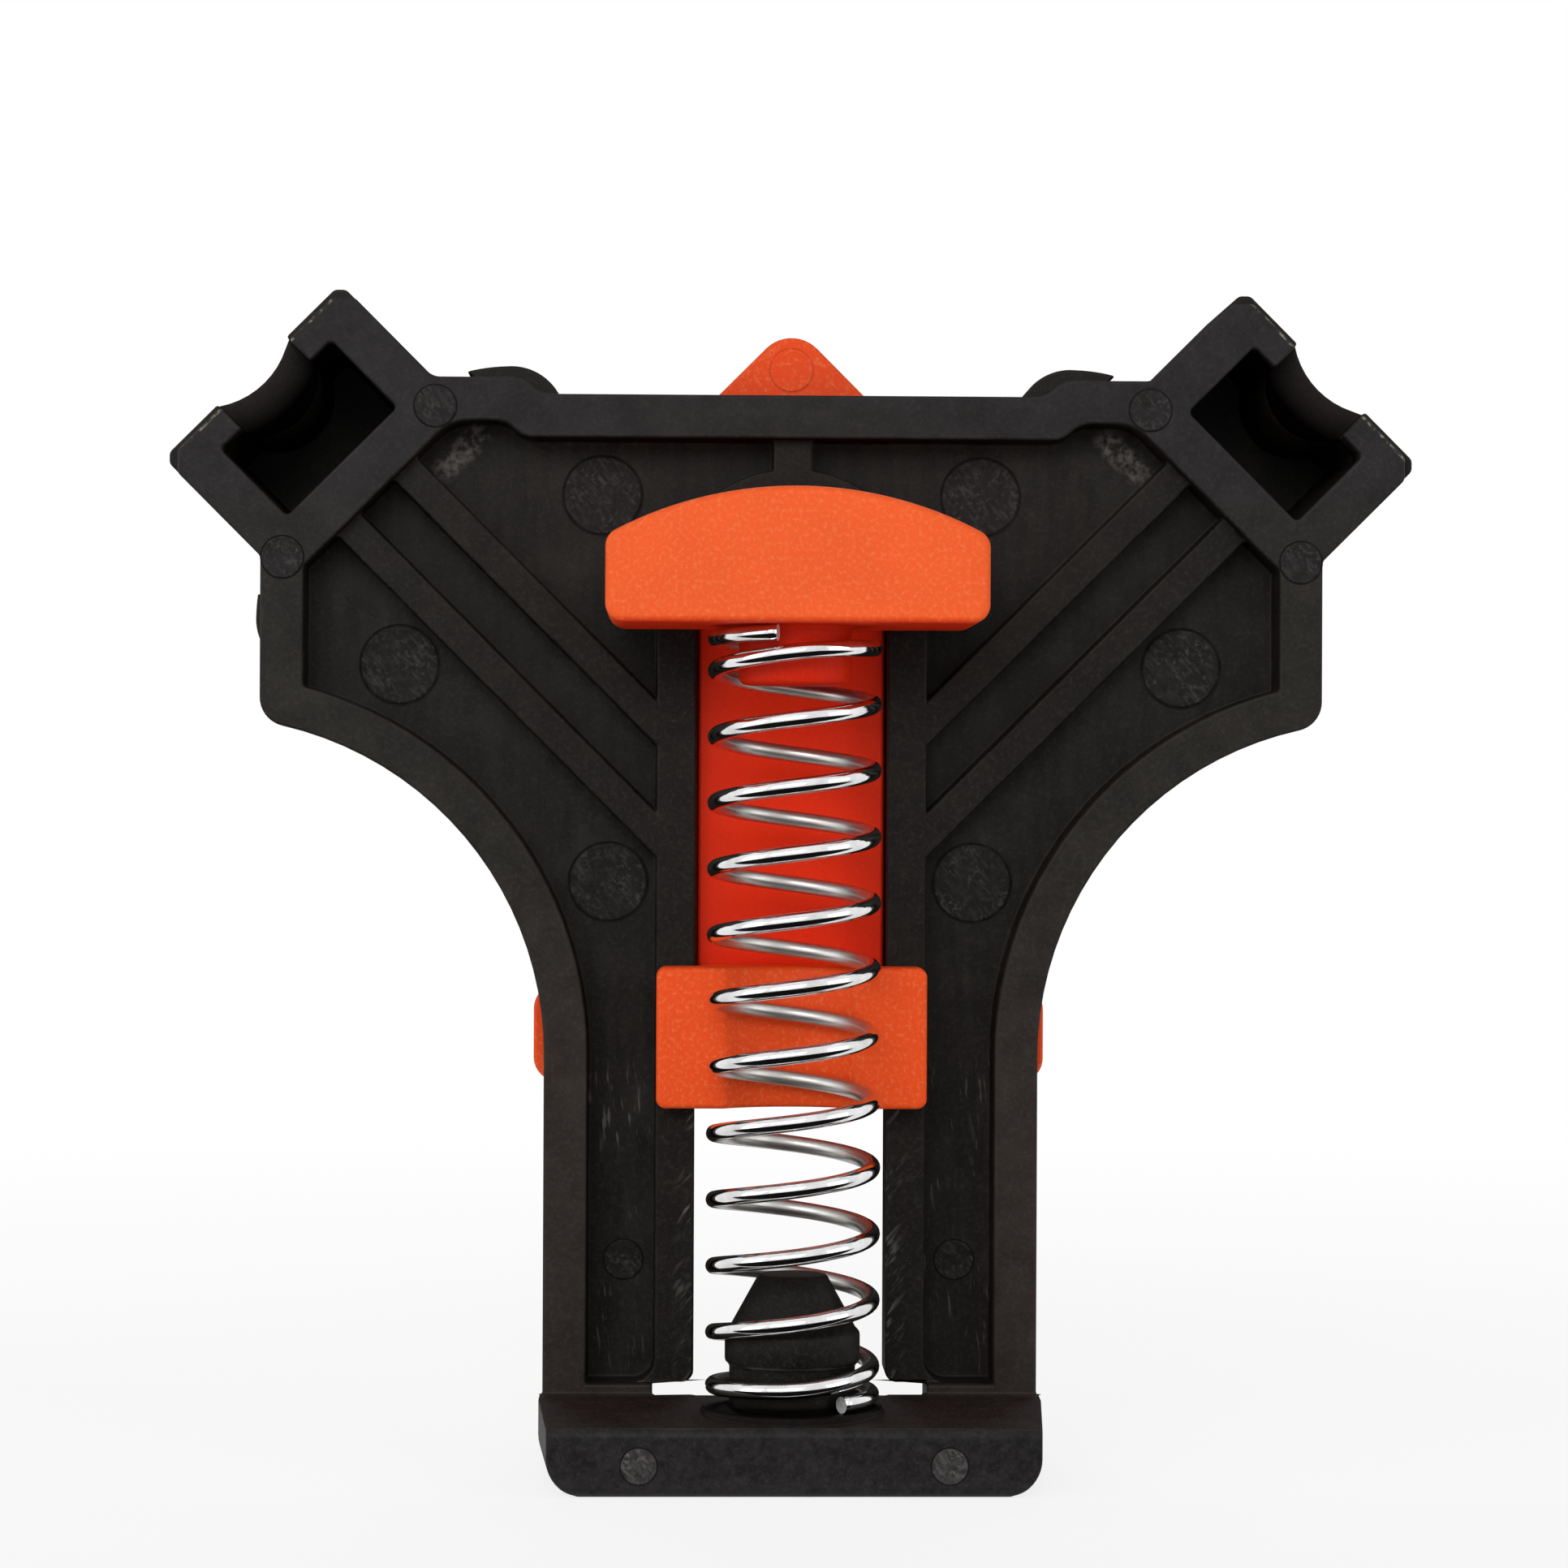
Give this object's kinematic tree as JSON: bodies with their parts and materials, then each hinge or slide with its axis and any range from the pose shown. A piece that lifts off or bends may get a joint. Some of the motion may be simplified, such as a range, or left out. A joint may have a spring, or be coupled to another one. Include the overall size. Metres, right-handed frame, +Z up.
{
  "type": "corner clamp",
  "caption": "One-handed spring corner clamp: ribbed frame with a palm plate, swing jaws on posts, and an arrow slider with finger wings that a coil spring pushes forward.",
  "frame": {"origin": "on the flat palm face that the clamp stands on, in the middle of its width, in the plane of the frame's work face", "axes": "+Z up from the palm plate to the arrow tip, along the slider's travel; +X across the clamp; +Y from the open underside to the work side"},
  "size_m": [0.1358, 0.049, 0.128],
  "materials": {
    "black_nylon": "fine-textured moulded black nylon",
    "orange_plastic": "satin moulded orange plastic",
    "spring_steel": "bright nickel-plated spring wire",
    "zinc_steel": "zinc-plated steel"
  },
  "bodies": {
    "frame": {"clamp_frame": "black_nylon", "return_spring": "spring_steel"},
    "slider": {"slider": "orange_plastic", "thrust_block": "orange_plastic", "guide_block": "orange_plastic", "left_thrust_screw": "zinc_steel", "right_thrust_screw": "zinc_steel", "left_guide_screw": "zinc_steel", "right_guide_screw": "zinc_steel"},
    "left_jaw": {"left_jaw": "black_nylon", "left_jaw_pin": "zinc_steel"},
    "right_jaw": {"right_jaw": "black_nylon", "right_jaw_pin": "zinc_steel"}
  },
  "joints": [
    {"name": "slider_pull", "type": "slide", "parent": "frame", "child": "slider", "axis": [0, 0, -1], "range_m": [0, 0.025], "stiffness_N_per_m": 1990, "springref_m": -0.01, "deforming": ["return_spring"]},
    {"name": "left_jaw_swing", "type": "hinge", "parent": "frame", "child": "left_jaw", "pos_m": [-0.04129, 0.01, 0.1014], "axis": [0, 1, 0], "range_deg": [-10, 10]},
    {"name": "right_jaw_swing", "type": "hinge", "parent": "frame", "child": "right_jaw", "pos_m": [0.04129, 0.01, 0.1014], "axis": [0, 1, 0], "range_deg": [-10, 10]}
  ]
}
